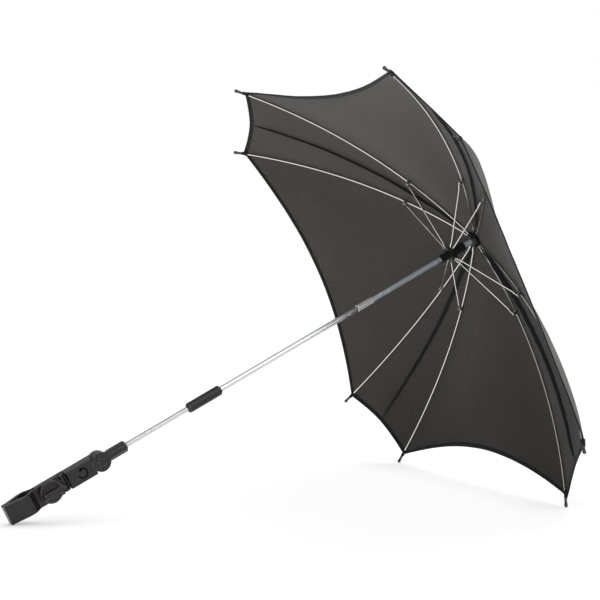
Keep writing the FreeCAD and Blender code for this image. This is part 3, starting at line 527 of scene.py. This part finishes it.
# one rib's share of the cover, from the seam over the rib to the middle of the wide gore; the
# ghost column past that middle only makes the normals of neighbours agree
def sectorGrid(number):
    ghost = wideSteps[-1] + wideSteps[1]
    t, s = np.meshgrid(rowShares, narrowSteps, indexing="ij")
    narrow = coverPoints(number, True, t, s)
    t, s = np.meshgrid(rowShares, np.append(wideSteps, ghost), indexing="ij")
    wide = coverPoints(number, False, t, s)
    grid = np.concatenate([narrow, wide[:, 1:]], axis=1)
    flat = gridNormals(grid)
    fade = np.clip(rowShares / cover["calm"], 0, 1)[:, None]
    grid = grid + flat * (ripples(grid, cover["crease"]) * fade)[..., None]
    normals = gridNormals(grid)
    return grid[:, :-1], normals[:, :-1]


sectors = {number: sectorGrid(number) for number in ribNumbers}


# the cloth rides on its rib
def gather(piece, number):
    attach(piece, f"rib_{number}")
    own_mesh(piece)


def makeSector(number):
    grid, normals = sectors[number]
    rows, columns = grid.shape[:2]
    overRib = cover["narrowColumns"]
    spread = lengthsAlong(grid[-1])
    width = np.linalg.norm(grid - grid[:, [overRib]], axis=2) * np.sign(spread - spread[overRib])
    cut = np.stack([width, np.repeat(rowShares[:, None], columns, 1) * arcLength], axis=-1)
    faces = [face if number % 2 else face[::-1] for face in gridFaces(rows, columns)]
    points = grid.reshape(-1, 3)
    piece = newPiece(f"cover_gore_{number}", atShaft(points), faces, coverCloth,
                     cut.reshape(-1, 2), normals.reshape(-1, 3) @ shaftBasis)
    area = sum(np.linalg.norm(np.cross(points[c] - points[a], points[d] - points[b])) / 2
               for a, b, c, d in faces)
    return piece, area, float(spread[-1])


# hem binding: a flat folded tape round the cloth's edge, dented along its row of stitches
hem = {"depth": 0.0052, "thickness": 0.0017, "over": 0.0006, "shoulder": 0.0008,
       "fold": (0.6, 0.8), "stitching": ((0.68, 0.9), (0.76, 0.55), (0.84, 0.85), (1.0, 0.5))}


def makeHem(number):
    grid, normals = sectors[number]
    edge, up = grid[-1], normals[-1]
    inward = grid[-3] - edge
    inward /= np.linalg.norm(inward, axis=1, keepdims=True)
    half = hem["thickness"] / 2
    upper = [(-hem["over"], 0), (-hem["over"] * hem["fold"][0], half * hem["fold"][1]),
             (hem["shoulder"], half)]
    upper += [(hem["depth"] * deep, half * high) for deep, high in hem["stitching"]]
    profile = upper + [(deep, -high) for deep, high in upper[:0:-1]]
    points, cut = [], []
    for place, way, rise, length in zip(edge, inward, up, lengthsAlong(edge)):
        for deep, high in profile:
            points.append(place + way * deep + rise * high)
            cut.append((length, abs(deep)))
    faces = gridFaces(len(edge), len(profile), True)
    return newPiece(f"hem_{number}", atShaft(points), faces, bindingTape, cut)


# seam down the middle of a narrow gore: the folded allowance stands up inside, higher towards
# the crown, with uneven height and lean
seam = {
    "start": 0.05, "end": 0.982, "rimHeight": 0.0036, "crownHeight": 0.0072, "fall": 0.7,
    "base": 0.0012, "top": 0.0008, "lean": 0.55, "rimTaper": (12, 0.15), "crownTaper": (10, 0.3),
    "uneven": 0.12, "unevenScale": 14, "unevenShift": 5.0, "waver": 0.3, "waverScale": 5,
    "waverShift": 9.0, "waverSlice": 2,
    "flank": [(-1.0, 0.04), (-0.9, 0.35), (-0.75, 0.8), (-0.4, 1.0)],
}


def makeSeam(pair):
    grid, normals = sectors[2 * pair - 1]
    chosen = [r for r, share in enumerate(rowShares) if seam["start"] <= share <= seam["end"]]
    profile = seam["flank"] + [(-wide, high) for wide, high in reversed(seam["flank"])]
    points, cut = [], []
    for r in chosen:
        place, up = grid[r, 0], normals[r, 0]
        side = grid[r, 0] - grid[r, 1]
        side = side - up * (side @ up)
        side /= np.linalg.norm(side)
        share = (rowShares[r] - seam["start"]) / (seam["end"] - seam["start"])
        rise = seam["rimHeight"] - seam["crownHeight"]
        tall = seam["crownHeight"] + rise * share ** seam["fall"]
        tall *= min(1.0, seam["rimTaper"][0] * (1 - share) + seam["rimTaper"][1],
                    seam["crownTaper"][0] * share + seam["crownTaper"][1])
        where = Vector((share * seam["unevenScale"], pair * seam["unevenShift"], 0))
        tall *= 1 + seam["uneven"] * noise.noise(where)
        where = Vector((share * seam["waverScale"], pair * seam["waverShift"], seam["waverSlice"]))
        tilt = seam["lean"] * (1 + seam["waver"] * noise.noise(where))
        inner = -up * math.cos(tilt) + side * math.sin(tilt)
        thick = up * math.sin(tilt) + side * math.cos(tilt)
        for wide, high in profile:
            half = seam["base"] + (seam["top"] - seam["base"]) * high
            points.append(place + thick * wide * half + inner * tall * high)
            cut.append((rowShares[r] * arcLength, abs(wide) * half + high * tall))
    around = len(profile)
    faces = gridFaces(len(chosen), around, True)
    faces.append(tuple(range(around))[::-1])
    faces.append(tuple(range((len(chosen) - 1) * around, len(chosen) * around)))
    return newPiece(f"seam_{pair}", atShaft(points), faces, bindingTape, cut)


# corner pocket: the sewn sleeve that holds the cover's corner on the rib's cap
pocket = {"length": 0.0088, "before": 0.006, "wide": 0.0034, "deep": 0.0030, "mouth": 0.0019,
          "taper": 0.6, "swell": 0.12, "swells": 3, "lift": 0.0005, "probe": 0.001,
          "around": 16, "rows": 9}


def makePocket(number):
    azimuth = np.array(ribAzimuth(number))
    sideDirection = np.array([-math.sin(azimuth), math.cos(azimuth), 0])
    points, cut = [], []
    for row in range(pocket["rows"]):
        share = row / (pocket["rows"] - 1)
        along = (-pocket["before"] + pocket["length"] * share) / arcLength
        centre = onArc(1 + along, azimuth, pocket["lift"])
        ahead = onArc(1 + along + pocket["probe"], azimuth, pocket["lift"])
        tangent = (ahead - centre) / np.linalg.norm(ahead - centre)
        rise = np.cross(tangent, sideDirection)
        rise *= 1 if rise[2] > 0 else -1
        swell = 1 + pocket["swell"] * math.sin(share * math.pi * pocket["swells"])
        narrowing = share ** pocket["taper"]
        wide, deep = [(pocket[name] + (pocket["mouth"] - pocket[name]) * narrowing) * swell
                      for name in ("wide", "deep")]
        for turn in range(pocket["around"]):
            angle = 2 * math.pi * turn / pocket["around"]
            points.append(centre + sideDirection * wide * math.cos(angle)
                          + rise * deep * math.sin(angle))
            cut.append((angle * pocket["wide"], share * pocket["length"]))
    faces = gridFaces(pocket["rows"], pocket["around"], True)
    return newPiece(f"corner_pocket_{number}", atShaft(points), faces, bindingTape, cut)


seams = {}
for pair in range(1, 5):
    seams[pair] = makeSeam(pair)
    gather(seams[pair], 2 * pair - 1)
for number in ribNumbers:
    gore, area, width = makeSector(number)
    edging, corner = makeHem(number), makePocket(number)
    for piece in (gore, edging):
        gather(piece, number)
    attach(corner, f"rib_{number}")
    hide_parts("cover")
print("cover:", len(sectors), "gores")

# bending neck: close-wound wire over a core, one length for each direction in which it bends
neck = {"top": -0.4527, "end": -0.541, "radius": 0.00325, "wire": 0.0007, "pitch": 0.00145,
        "overlap": 1.02, "around": 28, "sides": 8, "coreRings": 12}


def makeNeck(name, top, end):
    steps = int((top - end) / neck["pitch"] * neck["around"])
    coil = neck["radius"] - neck["wire"]
    points = []
    for step in range(steps + 1):
        angle = 2 * math.pi * step / neck["around"]
        height = top - (top - end) * step / steps
        out = np.array([math.cos(angle), math.sin(angle), 0])
        for side in range(neck["sides"]):
            lean = 2 * math.pi * side / neck["sides"]
            rise = neck["wire"] * math.sin(lean) * neck["overlap"]
            points.append(out * (coil + neck["wire"] * math.cos(lean))
                          + np.array([0, 0, height + rise]))
    faces = gridFaces(steps + 1, neck["sides"], True)
    core = len(points)
    for ring in range(neck["coreRings"] + 1):
        height = top - (top - end) * ring / neck["coreRings"]
        for side in range(neck["around"]):
            angle = 2 * math.pi * side / neck["around"]
            points.append((coil * math.cos(angle), coil * math.sin(angle), height))
    faces += [tuple(core + index for index in face)
              for face in gridFaces(neck["coreRings"] + 1, neck["around"], True)]
    piece = newPiece(f"{name}_coil", atShaft(points), faces, finishes["neckSteel"])
    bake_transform(piece)
    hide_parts(name)


neckMiddle = (neck["top"] + neck["end"]) / 2
makeNeck("neck_upper", neck["top"], neckMiddle)
makeNeck("neck_lower", neckMiddle, neck["end"])
print("neck: two coils")

# two small rivets on the upper tube, above the collar
rivet = {"stations": (0.142, 0.156), "side": (-0.64, -0.77), "tube": 0.0034, "radius": 0.0011,
         "height": 0.0008, "sunk": 0.00012, "around": 16, "rings": 5}


def makeRivet(number, station):
    out = np.array([*rivet["side"], 0.0])
    out /= np.linalg.norm(out)
    along = np.array([0, 0, 1.0])
    across = np.cross(along, out)
    seat = out * rivet["tube"] - along * station
    points = []
    for ring in range(rivet["rings"] + 1):
        lift = math.pi / 2 * ring / rivet["rings"]
        reach = rivet["radius"] * math.cos(lift)
        rise = rivet["height"] * math.sin(lift) - rivet["sunk"]
        for turn in range(rivet["around"]):
            angle = 2 * math.pi * turn / rivet["around"]
            points.append(seat + across * reach * math.cos(angle)
                          + along * reach * math.sin(angle) + out * rise)
    faces = gridFaces(rivet["rings"] + 1, rivet["around"], True)
    head = newPiece(f"tube_rivet_{number}", atShaft(points), faces, finishes["brightWire"])
    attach(head, "shaft")


for number, station in enumerate(rivet["stations"], 1):
    makeRivet(number, station)
print("rivets:", len(rivet["stations"]))

# turn sign on the clamp block: an open ring with an arrow head, a matt dark line on the face
sign = {"station": 0.6035, "radius": 0.0056, "line": 0.0008, "face": -0.009, "rise": 0.00012,
        "from": -85, "to": 180, "steps": 40, "head": 0.0030, "headLength": 1.5, "headWidth": 0.8}
signLook = {"light": (0.004, 0.004, 0.004), "dark": (0.002, 0.002, 0.002),
            "paleEdge": (0.008, 0.008, 0.008), "grain": 1800.0, "edge": 0.0002, "rough": 0.75,
            "shine": 0.04}
finishes["signLine"] = plasticMaterial("signLine", signLook)


def signPoint(reach, angle):
    return (reach * math.cos(angle), sign["face"] - sign["rise"],
            -sign["station"] + reach * math.sin(angle))


def makeSign():
    points = []
    for step in range(sign["steps"] + 1):
        angle = math.radians(sign["from"] + (sign["to"] - sign["from"]) * step / sign["steps"])
        points.append(signPoint(sign["radius"] - sign["line"], angle))
        points.append(signPoint(sign["radius"] + sign["line"], angle))
    faces = gridFaces(sign["steps"] + 1, 2)
    angle = math.radians(sign["to"])
    half = sign["head"] * sign["headWidth"]
    first = len(points)
    points.append(signPoint(sign["radius"] - half, angle))
    points.append(signPoint(sign["radius"] + half, angle))
    points.append(signPoint(sign["radius"],
                            angle + sign["head"] * sign["headLength"] / sign["radius"]))
    faces.append((first, first + 1, first + 2))
    return newPiece("turn_sign", atShaft(points), faces, finishes["signLine"])


turnSign = makeSign()
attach(turnSign, "clamp")
print("turn sign")

# stage: pale floor that fades into white, with a painted contact shadow where a piece comes close
stage = {
    "floor": -0.02247, "half": 5.0, "middle": 0.33, "near": 0.9, "far": 2.0,
    "colour": (0.93, 0.93, 0.93), "mottle": 0.99, "mottleScale": 3.0, "rough": 0.7, "shine": 0.2,
    "lift": 0.92, "glow": 1.045, "white": 1.02, "samples": 16, "reach": 0.09, "gain": 1.5,
    "curve": 1.3, "shade": 0.75, "shadow": (0.35, 0.35, 0.35),
}


def makeFloor():
    half, level = stage["half"], stage["floor"]
    corners = [(-half, -half, level), (half, -half, level), (half, half, level),
               (-half, half, level)]
    made, paint = newMaterial("paleFloor")
    place = objectPlace(paint)
    shifted = paint.vector("SUBTRACT", place, (stage["middle"], 0.0, level))
    away = paint.vector("LENGTH", shifted, output="Value")
    fade = ((away - stage["near"]) / (stage["far"] - stage["near"])).clamped()
    direct = (rayKind(paint, "Camera") + rayKind(paint, "Glossy")
              + rayKind(paint, "Transmission")).clamped()
    cloud = noiseOf(paint, place, stage["mottleScale"])
    tone = cloud.mixed(colour(*[c * stage["mottle"] for c in stage["colour"]]),
                       colour(*stage["colour"]))
    plain = paint.node("ShaderNodeBsdfPrincipled", {},
                       {"Base Color": tone, "Roughness": stage["rough"],
                        "Specular IOR Level": stage["shine"]})
    # painted contact shadow: ambient occlusion darkens the floor's glow near the pieces
    clear = paint.node("ShaderNodeAmbientOcclusion", {"samples": stage["samples"]},
                       {"Distance": stage["reach"]}, "AO")
    paintedContactShadow = ((1 - clear) * stage["gain"]).clamped() ** stage["curve"]
    dimmed = (paintedContactShadow * stage["shade"]).mixed(whiteColour, colour(*stage["shadow"]))
    glow = paint.node("ShaderNodeEmission", {}, {"Color": dimmed, "Strength": stage["glow"]})
    white = paint.node("ShaderNodeEmission", {},
                       {"Color": whiteColour, "Strength": stage["white"]})
    near = paint.node("ShaderNodeMixShader", {}, {0: direct * stage["lift"], 1: plain, 2: glow})
    mix = paint.node("ShaderNodeMixShader", {}, {0: direct * fade, 1: near, 2: white})
    paint.node("ShaderNodeOutputMaterial", {}, {"Surface": mix})
    floor = newPiece("floor", corners, [(0, 1, 2, 3)], made)


# the surround is white to the eye, and the bright pieces mirror a studio with a grey wall in it
surround = {"ambient": 0.03, "wall": 0.45, "front": 1.9, "frontFrom": -0.10, "frontTo": 0.50,
            "sideFrom": -0.10, "sideTo": -0.45}


def makeSurround(look):
    world = bpy.data.worlds.new("surround")
    world.use_nodes = True
    world.node_tree.nodes.clear()
    paint = Wire(world.node_tree)
    way = paint.node("ShaderNodeTexCoord", {}, {}, "Generated")
    depth, height = way.part("Y"), way.part("Z")
    above = ((height - look["frontFrom"]) / (look["frontTo"] - look["frontFrom"])).clamped()
    front = ((depth - look["sideFrom"]) / (look["sideTo"] - look["sideFrom"])).clamped()
    studio = look["wall"] + above * front * (look["front"] - look["wall"])
    unseen = look["ambient"] + rayKind(paint, "Glossy") * (studio - look["ambient"])
    strength = unseen + rayKind(paint, "Camera") * (1 - unseen)
    back = paint.node("ShaderNodeBackground", {}, {"Color": whiteColour, "Strength": strength})
    paint.node("ShaderNodeOutputWorld", {}, {"Surface": back})
    bpy.context.scene.world = world


# each lamp's place, target, width, height and power
lamps = {
    "backLamp": ((1.3, 0.7, 2.3), (0.35, 0.0, 0.1), 1.8, 1.8, 140.0),
    "frontLamp": ((-1.0, -2.4, 0.12), (0.5, 0.0, 0.42), 1.4, 0.3, 22.0),
    "floorLamp": ((-0.4, -1.0, -0.015), (-0.4, -1.0, 1.0), 1.2, 1.2, 14.0),
}


def makeLamp(name, place, target, width, height, power):
    lamp = bpy.data.lights.new(name, "AREA")
    lamp.shape = "RECTANGLE"
    lamp.size, lamp.size_y, lamp.energy = width, height, power
    item = bpy.data.objects.new(name, lamp)
    item.location = place
    item.visible_camera = item.visible_glossy = False
    item.rotation_euler = (Vector(target) - Vector(place)).to_track_quat("-Z", "Y").to_euler()
    bpy.context.scene.collection.objects.link(item)


makeFloor()
makeSurround(surround)
for name, settings in lamps.items():
    makeLamp(name, *settings)

view = {"place": (-0.5685, -1.8207, 0.3364), "forward": (0.45055, 0.8911, -0.05425),
        "roll": -0.071, "lens": 99.08, "sensor": 36.0, "clip": (0.05, 50.0)}
camera = bpy.data.cameras.new("camera")
camera.lens = view["lens"]
camera.sensor_width = view["sensor"]
camera.clip_start, camera.clip_end = view["clip"]
cameraItem = bpy.data.objects.new("camera", camera)
cameraItem.location = view["place"]
facing = Vector(view["forward"]).to_track_quat("-Z", "Y")
rolled = facing @ Quaternion((0, 0, 1), math.radians(view["roll"]))
cameraItem.rotation_euler = rolled.to_euler()
bpy.context.scene.collection.objects.link(cameraItem)
bpy.context.scene.camera = cameraItem
bpy.context.scene.view_settings.view_transform = "Standard"
print("stage, lamps and camera")
